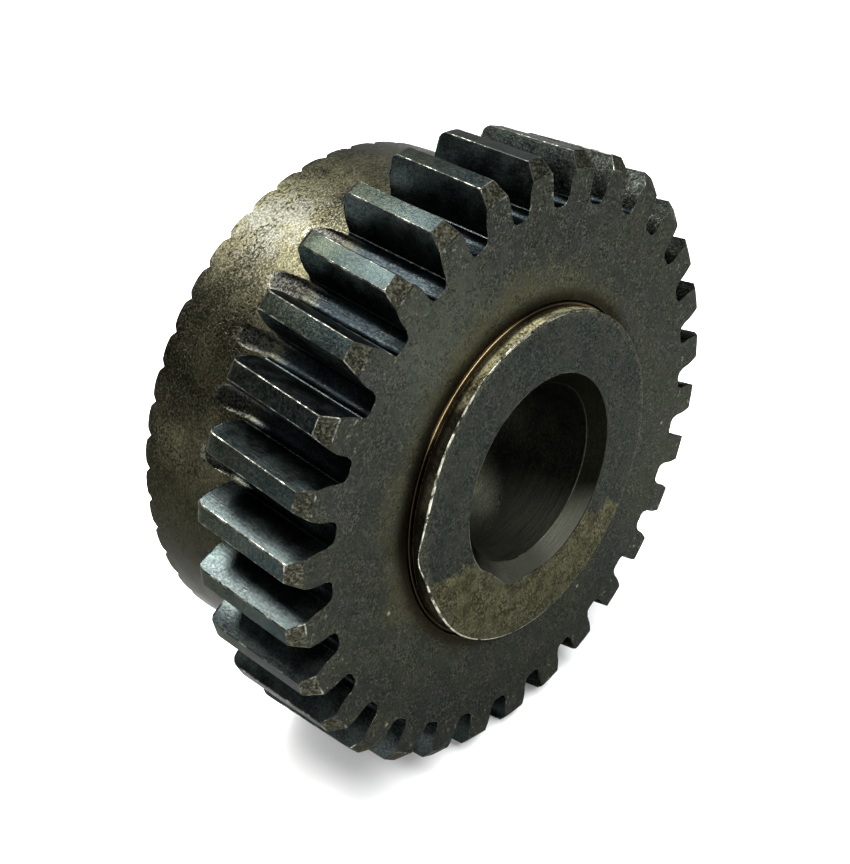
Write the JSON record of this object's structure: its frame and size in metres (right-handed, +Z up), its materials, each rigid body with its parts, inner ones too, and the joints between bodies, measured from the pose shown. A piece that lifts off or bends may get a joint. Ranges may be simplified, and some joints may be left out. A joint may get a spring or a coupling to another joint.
{
  "type": "helical gear",
  "caption": "Free-running helical gear with a smooth rear drum and a serrated clutch rim, turning on bronze bushes around a flanged hub sleeve with a plain chamfered bore.",
  "frame": {"origin": "centre of the bounding box, which is on the gear's axis, halfway between the boss's front face and the clutch rim's rear face", "axes": "the gear's axis lies along Y, its front face looks towards -Y, and +Z is up"},
  "size_m": [0.0964, 0.041, 0.0966],
  "materials": {
    "blackened_steel": "dark oxide with worn edges and a brown drum",
    "ground_steel": "ground, dulled, with a brown stain",
    "bush_bronze": "bored bronze, oiled",
    "washer_bronze": "flat bronze, lightly tarnished",
    "spring_steel": "phosphated spring steel"
  },
  "bodies": {
    "hub": {"hub_sleeve": "ground_steel", "rear_thrust_washer": "washer_bronze", "retaining_ring": "spring_steel"},
    "gear": {"helical_gear": "blackened_steel", "front_bush": "bush_bronze", "rear_bush": "bush_bronze", "front_thrust_washer": "washer_bronze"}
  },
  "joints": [
    {"name": "gear_spin", "type": "hinge", "parent": "hub", "child": "gear", "pos_m": [0, 0, 0], "axis": [0, 1, 0], "continuous": true}
  ]
}
